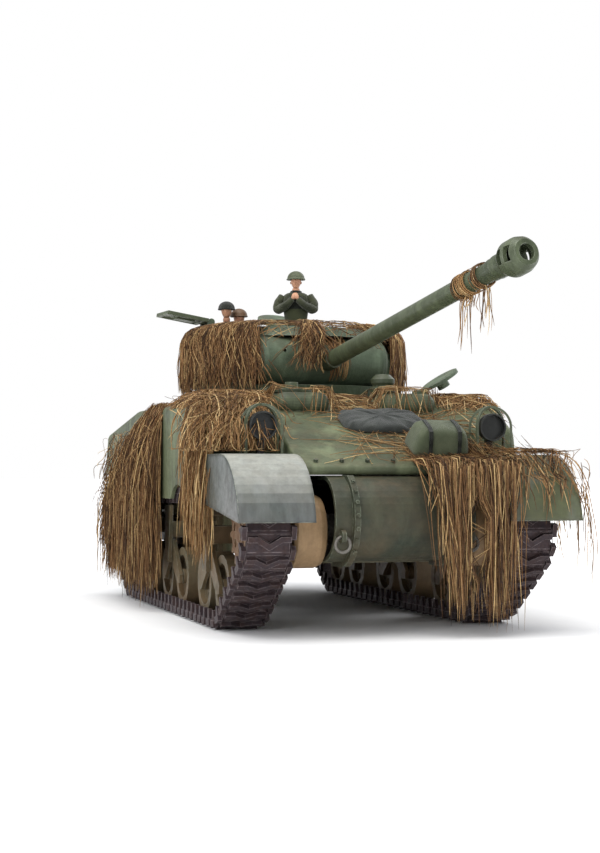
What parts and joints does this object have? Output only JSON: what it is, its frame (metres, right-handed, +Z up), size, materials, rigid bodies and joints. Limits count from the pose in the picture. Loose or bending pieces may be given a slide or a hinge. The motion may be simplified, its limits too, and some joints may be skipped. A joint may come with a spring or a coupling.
{
  "type": "radio-controlled model tank",
  "caption": "Tracked model tank, one sixteenth size, with turning turret, long elevating gun, opening hatches, crew figures and hanging raffia camouflage",
  "frame": {"origin": "on the ground under the middle of the whole outline, gun included", "axes": "+X to the tank's left, -Y forward along the hull, +Z up"},
  "size_m": [0.192, 0.44, 0.1992],
  "materials": {
    "hull_paint": "satin military green paint, weathered",
    "lower_paint": "satin green paint with dust",
    "housing_tan": "dusty tan",
    "fender_paint": "worn grey-green paint",
    "turret_paint": "rough cast texture, green",
    "gun_paint": "olive paint",
    "bogie_paint": "dusty tan over green",
    "track_steel": "dark worn metal",
    "steel": "worn",
    "brass": "machined",
    "lamp_black": "black",
    "canvas": "woven canvas",
    "tarp": "oiled cloth",
    "raffia": "dry fibre strands",
    "figure": "painted figure",
    "battery": "shrink wrap",
    "board": "solder mask"
  },
  "bodies": {
    "hull": {"lower_hull": "lower_paint", "transmission_cover": "hull_paint", "final_drive_housings": "housing_tan", "upper_hull": "hull_paint", "engine_deck": "hull_paint", "front_fenders": "fender_paint", "headlamps": "lamp_black", "lamp_guards": "gun_paint", "ventilator": "gun_paint", "stowage_pack": "canvas", "tarpaulin": "tarp", "hull_bolts": "steel", "bogie_brackets": "bogie_paint", "bogie_arms": "bogie_paint", "track_right": "track_steel", "track_left": "track_steel", "raffia_hull": "raffia", "battery_pack": "battery", "control_board": "board", "motors": "steel"},
    "turret": {"turret_shell": "turret_paint", "turret_ring_gear": "steel", "crew_loader": "figure", "crew_cupola": "figure", "raffia_turret": "raffia"},
    "gun": {"mantlet": "turret_paint", "gun_barrel": "gun_paint", "muzzle_brake": "gun_paint", "raffia_barrel": "raffia"},
    "sprocket_right": {"sprocket_right": "bogie_paint"},
    "sprocket_left": {"sprocket_left": "bogie_paint"},
    "idler_right": {"idler_right": "bogie_paint"},
    "motor_pinion_right": {"motor_pinion_right": "brass"},
    "road_wheel_right_1": {"road_wheel_right_1": "bogie_paint"},
    "road_wheel_right_2": {"road_wheel_right_2": "bogie_paint"},
    "road_wheel_right_3": {"road_wheel_right_3": "bogie_paint"},
    "road_wheel_right_4": {"road_wheel_right_4": "bogie_paint"},
    "road_wheel_right_5": {"road_wheel_right_5": "bogie_paint"},
    "road_wheel_right_6": {"road_wheel_right_6": "bogie_paint"},
    "return_roller_right_1": {"return_roller_right_1": "bogie_paint"},
    "return_roller_right_2": {"return_roller_right_2": "bogie_paint"},
    "return_roller_right_3": {"return_roller_right_3": "bogie_paint"},
    "idler_left": {"idler_left": "bogie_paint"},
    "motor_pinion_left": {"motor_pinion_left": "brass"},
    "road_wheel_left_1": {"road_wheel_left_1": "bogie_paint"},
    "road_wheel_left_2": {"road_wheel_left_2": "bogie_paint"},
    "road_wheel_left_3": {"road_wheel_left_3": "bogie_paint"},
    "road_wheel_left_4": {"road_wheel_left_4": "bogie_paint"},
    "road_wheel_left_5": {"road_wheel_left_5": "bogie_paint"},
    "road_wheel_left_6": {"road_wheel_left_6": "bogie_paint"},
    "return_roller_left_1": {"return_roller_left_1": "bogie_paint"},
    "return_roller_left_2": {"return_roller_left_2": "bogie_paint"},
    "return_roller_left_3": {"return_roller_left_3": "bogie_paint"},
    "traverse_pinion": {"traverse_pinion": "brass"},
    "driver_hatch": {"driver_hatch": "hull_paint"},
    "codriver_hatch": {"codriver_hatch": "hull_paint"},
    "commander_hatch": {"commander_hatch": "gun_paint"},
    "loader_hatch": {"loader_hatch": "turret_paint"},
    "tow_shackle_right": {"tow_shackle_right": "steel"},
    "tow_shackle_left": {"tow_shackle_left": "steel"}
  },
  "joints": [
    {"name": "turret_traverse", "type": "hinge", "parent": "hull", "child": "turret", "pos_m": [0, 0.05068, 0.117], "axis": [0, 0, 1], "continuous": true},
    {"name": "gun_elevation", "type": "hinge", "parent": "turret", "child": "gun", "pos_m": [0.0043, 0.01292, 0.141], "axis": [-0.9936, -0.1132, 0], "range_deg": [-9, 11]},
    {"name": "sprocket_right_spin", "type": "hinge", "parent": "hull", "child": "sprocket_right", "pos_m": [-0.066, -0.12232, 0.05], "axis": [1, 0, 0], "continuous": true},
    {"name": "sprocket_left_spin", "type": "hinge", "parent": "hull", "child": "sprocket_left", "pos_m": [0.066, -0.12232, 0.05], "axis": [1, 0, 0], "continuous": true},
    {"name": "idler_right_spin", "type": "hinge", "parent": "hull", "child": "idler_right", "pos_m": [-0.066, 0.19168, 0.046], "axis": [1, 0, 0], "continuous": true},
    {"name": "motor_pinion_right_spin", "type": "hinge", "parent": "hull", "child": "motor_pinion_right", "pos_m": [-0.042, -0.10902, 0.05], "axis": [1, 0, 0], "continuous": true},
    {"name": "road_wheel_right_1_spin", "type": "hinge", "parent": "hull", "child": "road_wheel_right_1", "pos_m": [-0.066, -0.07932, 0.0211], "axis": [1, 0, 0], "continuous": true},
    {"name": "road_wheel_right_2_spin", "type": "hinge", "parent": "hull", "child": "road_wheel_right_2", "pos_m": [-0.066, -0.03932, 0.0211], "axis": [1, 0, 0], "continuous": true},
    {"name": "road_wheel_right_3_spin", "type": "hinge", "parent": "hull", "child": "road_wheel_right_3", "pos_m": [-0.066, 0.01568, 0.0211], "axis": [1, 0, 0], "continuous": true},
    {"name": "road_wheel_right_4_spin", "type": "hinge", "parent": "hull", "child": "road_wheel_right_4", "pos_m": [-0.066, 0.05568, 0.0211], "axis": [1, 0, 0], "continuous": true},
    {"name": "road_wheel_right_5_spin", "type": "hinge", "parent": "hull", "child": "road_wheel_right_5", "pos_m": [-0.066, 0.11068, 0.0211], "axis": [1, 0, 0], "continuous": true},
    {"name": "road_wheel_right_6_spin", "type": "hinge", "parent": "hull", "child": "road_wheel_right_6", "pos_m": [-0.066, 0.15068, 0.0211], "axis": [1, 0, 0], "continuous": true},
    {"name": "return_roller_right_1_spin", "type": "hinge", "parent": "hull", "child": "return_roller_right_1", "pos_m": [-0.066, -0.04632, 0.06129], "axis": [1, 0, 0], "continuous": true},
    {"name": "return_roller_right_2_spin", "type": "hinge", "parent": "hull", "child": "return_roller_right_2", "pos_m": [-0.066, 0.04868, 0.05978], "axis": [1, 0, 0], "continuous": true},
    {"name": "return_roller_right_3_spin", "type": "hinge", "parent": "hull", "child": "return_roller_right_3", "pos_m": [-0.066, 0.14368, 0.05827], "axis": [1, 0, 0], "continuous": true},
    {"name": "idler_left_spin", "type": "hinge", "parent": "hull", "child": "idler_left", "pos_m": [0.066, 0.19168, 0.046], "axis": [1, 0, 0], "continuous": true},
    {"name": "motor_pinion_left_spin", "type": "hinge", "parent": "hull", "child": "motor_pinion_left", "pos_m": [0.042, -0.10902, 0.05], "axis": [1, 0, 0], "continuous": true},
    {"name": "road_wheel_left_1_spin", "type": "hinge", "parent": "hull", "child": "road_wheel_left_1", "pos_m": [0.066, -0.07932, 0.0211], "axis": [1, 0, 0], "continuous": true},
    {"name": "road_wheel_left_2_spin", "type": "hinge", "parent": "hull", "child": "road_wheel_left_2", "pos_m": [0.066, -0.03932, 0.0211], "axis": [1, 0, 0], "continuous": true},
    {"name": "road_wheel_left_3_spin", "type": "hinge", "parent": "hull", "child": "road_wheel_left_3", "pos_m": [0.066, 0.01568, 0.0211], "axis": [1, 0, 0], "continuous": true},
    {"name": "road_wheel_left_4_spin", "type": "hinge", "parent": "hull", "child": "road_wheel_left_4", "pos_m": [0.066, 0.05568, 0.0211], "axis": [1, 0, 0], "continuous": true},
    {"name": "road_wheel_left_5_spin", "type": "hinge", "parent": "hull", "child": "road_wheel_left_5", "pos_m": [0.066, 0.11068, 0.0211], "axis": [1, 0, 0], "continuous": true},
    {"name": "road_wheel_left_6_spin", "type": "hinge", "parent": "hull", "child": "road_wheel_left_6", "pos_m": [0.066, 0.15068, 0.0211], "axis": [1, 0, 0], "continuous": true},
    {"name": "return_roller_left_1_spin", "type": "hinge", "parent": "hull", "child": "return_roller_left_1", "pos_m": [0.066, -0.04632, 0.06129], "axis": [1, 0, 0], "continuous": true},
    {"name": "return_roller_left_2_spin", "type": "hinge", "parent": "hull", "child": "return_roller_left_2", "pos_m": [0.066, 0.04868, 0.05978], "axis": [1, 0, 0], "continuous": true},
    {"name": "return_roller_left_3_spin", "type": "hinge", "parent": "hull", "child": "return_roller_left_3", "pos_m": [0.066, 0.14368, 0.05827], "axis": [1, 0, 0], "continuous": true},
    {"name": "traverse_pinion_spin", "type": "hinge", "parent": "hull", "child": "traverse_pinion", "pos_m": [0, 0.10318, 0.108], "axis": [0, 0, 1], "continuous": true},
    {"name": "driver_hatch_swing", "type": "hinge", "parent": "hull", "child": "driver_hatch", "pos_m": [0.0426, -0.05032, 0.1209], "axis": [0, 1, 0], "range_deg": [-148, 18]},
    {"name": "codriver_hatch_swing", "type": "hinge", "parent": "hull", "child": "codriver_hatch", "pos_m": [-0.0426, -0.05032, 0.1209], "axis": [0, -1, 0], "range_deg": [0, 160]},
    {"name": "commander_hatch_swing", "type": "hinge", "parent": "turret", "child": "commander_hatch", "pos_m": [-0.04928, 0.05915, 0.1659], "axis": [-0.1132, 0.9936, 0], "range_deg": [-5, 76]},
    {"name": "loader_hatch_swing", "type": "hinge", "parent": "turret", "child": "loader_hatch", "pos_m": [0.00467, 0.08039, 0.1659], "axis": [0.9936, 0.1132, 0], "range_deg": [-12, 75]},
    {"name": "tow_shackle_right_swing", "type": "hinge", "parent": "hull", "child": "tow_shackle_right", "pos_m": [-0.032, -0.14932, 0.048], "axis": [1, 0, 0], "range_deg": [-100, 8]},
    {"name": "tow_shackle_left_swing", "type": "hinge", "parent": "hull", "child": "tow_shackle_left", "pos_m": [0.032, -0.14932, 0.048], "axis": [1, 0, 0], "range_deg": [-100, 8]}
  ],
  "couplings": [
    {"joint": "idler_right_spin", "follows": "sprocket_right_spin", "ratio": 1.1561},
    {"joint": "motor_pinion_right_spin", "follows": "sprocket_right_spin", "ratio": -2.8},
    {"joint": "road_wheel_right_1_spin", "follows": "sprocket_right_spin", "ratio": 1.2579},
    {"joint": "road_wheel_right_2_spin", "follows": "sprocket_right_spin", "ratio": 1.2579},
    {"joint": "road_wheel_right_3_spin", "follows": "sprocket_right_spin", "ratio": 1.2579},
    {"joint": "road_wheel_right_4_spin", "follows": "sprocket_right_spin", "ratio": 1.2579},
    {"joint": "road_wheel_right_5_spin", "follows": "sprocket_right_spin", "ratio": 1.2579},
    {"joint": "road_wheel_right_6_spin", "follows": "sprocket_right_spin", "ratio": 1.2579},
    {"joint": "return_roller_right_1_spin", "follows": "sprocket_right_spin", "ratio": 3.6364},
    {"joint": "return_roller_right_2_spin", "follows": "sprocket_right_spin", "ratio": 3.6364},
    {"joint": "return_roller_right_3_spin", "follows": "sprocket_right_spin", "ratio": 3.6364},
    {"joint": "idler_left_spin", "follows": "sprocket_left_spin", "ratio": 1.1561},
    {"joint": "motor_pinion_left_spin", "follows": "sprocket_left_spin", "ratio": -2.8},
    {"joint": "road_wheel_left_1_spin", "follows": "sprocket_left_spin", "ratio": 1.2579},
    {"joint": "road_wheel_left_2_spin", "follows": "sprocket_left_spin", "ratio": 1.2579},
    {"joint": "road_wheel_left_3_spin", "follows": "sprocket_left_spin", "ratio": 1.2579},
    {"joint": "road_wheel_left_4_spin", "follows": "sprocket_left_spin", "ratio": 1.2579},
    {"joint": "road_wheel_left_5_spin", "follows": "sprocket_left_spin", "ratio": 1.2579},
    {"joint": "road_wheel_left_6_spin", "follows": "sprocket_left_spin", "ratio": 1.2579},
    {"joint": "return_roller_left_1_spin", "follows": "sprocket_left_spin", "ratio": 3.6364},
    {"joint": "return_roller_left_2_spin", "follows": "sprocket_left_spin", "ratio": 3.6364},
    {"joint": "return_roller_left_3_spin", "follows": "sprocket_left_spin", "ratio": 3.6364},
    {"joint": "traverse_pinion_spin", "follows": "turret_traverse", "ratio": -6}
  ]
}
